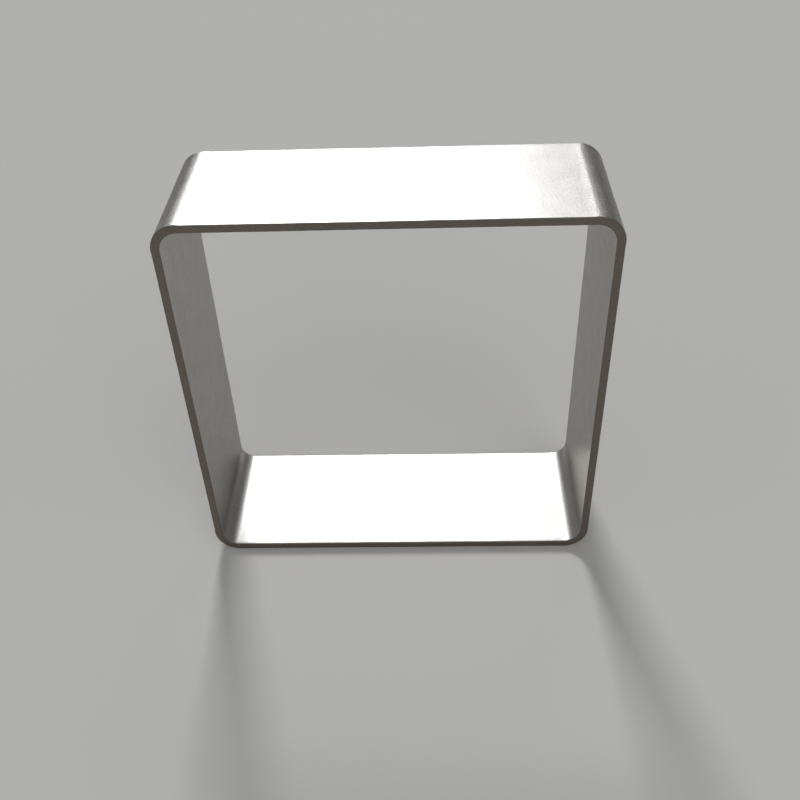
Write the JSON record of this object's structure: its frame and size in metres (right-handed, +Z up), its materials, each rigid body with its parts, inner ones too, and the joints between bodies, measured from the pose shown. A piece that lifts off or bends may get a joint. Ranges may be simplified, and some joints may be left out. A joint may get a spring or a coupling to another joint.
{
  "type": "rounded square metal band",
  "caption": "Thin-walled square aluminium band with rounded corners, open front to back, standing on one of its four walls.",
  "frame": {"origin": "underside of the bottom wall, at the middle of the footprint", "axes": "+Z up through the middle of the square, +Y along the open bore towards the back rim, +X to the right seen from the front"},
  "size_m": [0.06, 0.021, 0.06],
  "materials": {
    "satin_aluminium": "fine bead-blasted satin walls, with plain cut rims a little darker and warmer than the walls"
  },
  "bodies": {
    "root": {"square_band": "satin_aluminium"}
  },
  "joints": []
}
